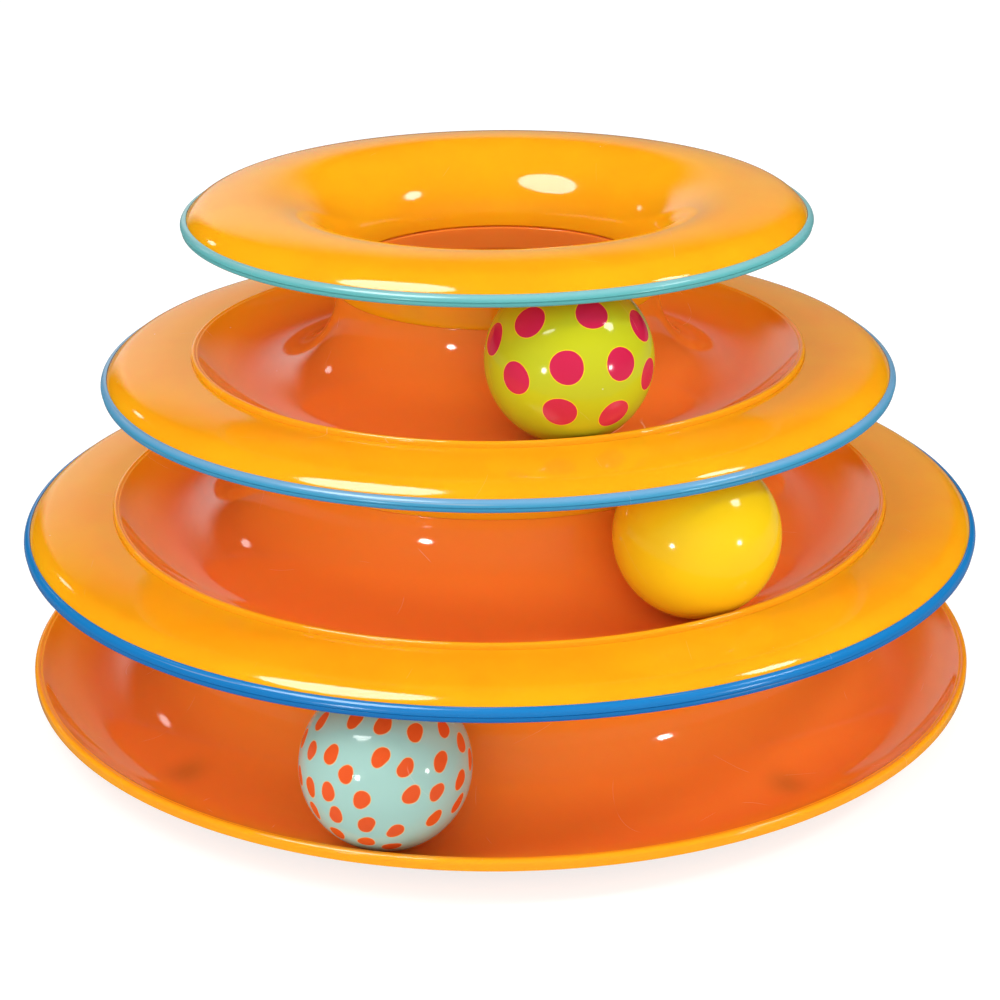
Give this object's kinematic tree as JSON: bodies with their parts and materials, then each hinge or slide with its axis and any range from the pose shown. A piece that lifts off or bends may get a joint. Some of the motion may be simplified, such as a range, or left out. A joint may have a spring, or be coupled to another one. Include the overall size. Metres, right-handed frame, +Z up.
{
  "type": "cat ball track toy",
  "caption": "Round stacked tower of open ball tracks for a cat: a dish base, flanged tiers and a domed top ring, each level holding a captive ball.",
  "frame": {"origin": "on the floor under the tower's axis, at the undersides of the non-slip pads", "axes": "+Z up along the axis of the stacked rings, -Y towards the side that the picture shows, +X to its right"},
  "size_m": [0.2504, 0.2504, 0.1342],
  "materials": {
    "track_orange": "glossy moulded orange plastic of the dish, bowls, hubs and collars",
    "flange_orange": "glossy moulded yellow-orange plastic of the flange rings and the top ring",
    "band_blue": "satin strong blue plastic of the lower edge band",
    "band_sky": "satin sky blue plastic of the upper edge band",
    "band_teal": "satin pale teal plastic of the top edge band",
    "ball_aqua_dotted": "pale aqua ball printed with small orange ovals",
    "ball_yellow": "plain glossy yellow ball",
    "ball_lime_dotted": "yellow-green ball printed with large magenta dots",
    "pad_rubber": "dark soft non-slip pad"
  },
  "bodies": {
    "base": {"base_track": "track_orange", "foot_pad_1": "pad_rubber", "foot_pad_2": "pad_rubber", "foot_pad_3": "pad_rubber", "foot_pad_4": "pad_rubber"},
    "base_ball": {"base_ball_half_a": "ball_aqua_dotted", "base_ball_half_b": "ball_aqua_dotted"},
    "lower_tier": {"lower_track": "track_orange", "lower_flange_ring": "flange_orange", "lower_edge_band": "band_blue"},
    "lower_ball": {"lower_ball_half_a": "ball_yellow", "lower_ball_half_b": "ball_yellow"},
    "upper_tier": {"upper_track": "track_orange", "upper_flange_ring": "flange_orange", "upper_edge_band": "band_sky"},
    "upper_ball": {"upper_ball_half_a": "ball_lime_dotted", "upper_ball_half_b": "ball_lime_dotted"},
    "top": {"top_ring": "flange_orange", "top_edge_band": "band_teal"}
  },
  "joints": [
    {"name": "base_ball_orbit", "type": "hinge", "parent": "base", "child": "base_ball", "pos_m": [0, 0, 0.0255], "axis": [0, 0, 1], "continuous": true},
    {"name": "lower_tier_lift", "type": "slide", "parent": "base", "child": "lower_tier", "axis": [0, 0, 1], "range_m": [0, 0.06]},
    {"name": "lower_ball_orbit", "type": "hinge", "parent": "lower_tier", "child": "lower_ball", "pos_m": [0, 0, 0.0681], "axis": [0, 0, 1], "continuous": true},
    {"name": "upper_tier_lift", "type": "slide", "parent": "lower_tier", "child": "upper_tier", "axis": [0, 0, 1], "range_m": [0, 0.06]},
    {"name": "upper_ball_orbit", "type": "hinge", "parent": "upper_tier", "child": "upper_ball", "pos_m": [0, 0, 0.1083], "axis": [0, 0, 1], "continuous": true},
    {"name": "top_ring_lift", "type": "slide", "parent": "upper_tier", "child": "top", "axis": [0, 0, 1], "range_m": [0, 0.06]}
  ]
}
